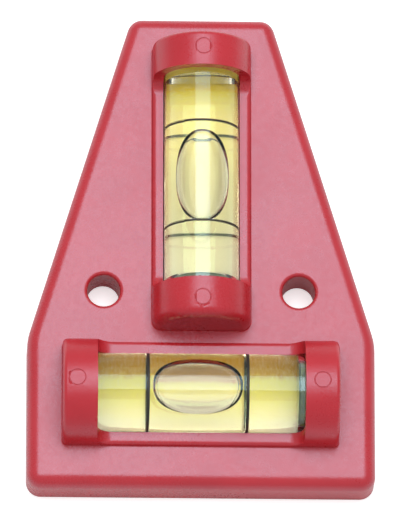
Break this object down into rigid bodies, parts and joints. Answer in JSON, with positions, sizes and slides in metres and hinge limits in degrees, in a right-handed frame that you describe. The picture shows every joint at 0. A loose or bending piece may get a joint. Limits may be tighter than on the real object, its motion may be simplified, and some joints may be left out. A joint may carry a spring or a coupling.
{
  "type": "cross spirit level",
  "caption": "Small tapered plate level with acrylic vials at right angles in arched, windowed housings and bores for screws.",
  "frame": {"origin": "centre of the bounding box in plan, on the back plane that rests on or is screwed to a surface", "axes": "+Z out of the face towards the viewer, +Y to the narrow end along the longitudinal vial, +X along the cross vial towards its plug"},
  "size_m": [0.07, 0.0988, 0.0206],
  "materials": {
    "moulded_red": "satin",
    "clear_acrylic": "polished",
    "plug_green": "satin",
    "ring_black": "matte",
    "liquid_yellow": "polished",
    "bubble_clear": "polished",
    "cradle_white": "satin"
  },
  "bodies": {
    "level": {"housing": "moulded_red", "longitudinal_vial": "clear_acrylic", "longitudinal_plug": "plug_green", "longitudinal_ring_a": "ring_black", "longitudinal_ring_b": "ring_black", "longitudinal_liquid": "liquid_yellow", "longitudinal_cradle": "cradle_white", "cross_vial": "clear_acrylic", "cross_plug": "plug_green", "cross_ring_a": "ring_black", "cross_ring_b": "ring_black", "cross_liquid": "liquid_yellow", "cross_cradle": "cradle_white"},
    "long_bubble": {"longitudinal_bubble": "bubble_clear"},
    "short_bubble": {"cross_bubble": "bubble_clear"}
  },
  "joints": [
    {"name": "longitudinal_bubble_run", "type": "hinge", "parent": "level", "child": "long_bubble", "pos_m": [0, 0.01415, -0.21215], "axis": [-1, 0, 0], "range_deg": [-2.6, 2.6], "stiffness_Nm_per_rad": 0.005},
    {"name": "cross_bubble_run", "type": "hinge", "parent": "level", "child": "short_bubble", "pos_m": [-0.0009, -0.0303, -0.2125], "axis": [0, 1, 0], "range_deg": [-2.5, 2.5], "stiffness_Nm_per_rad": 0.005}
  ]
}
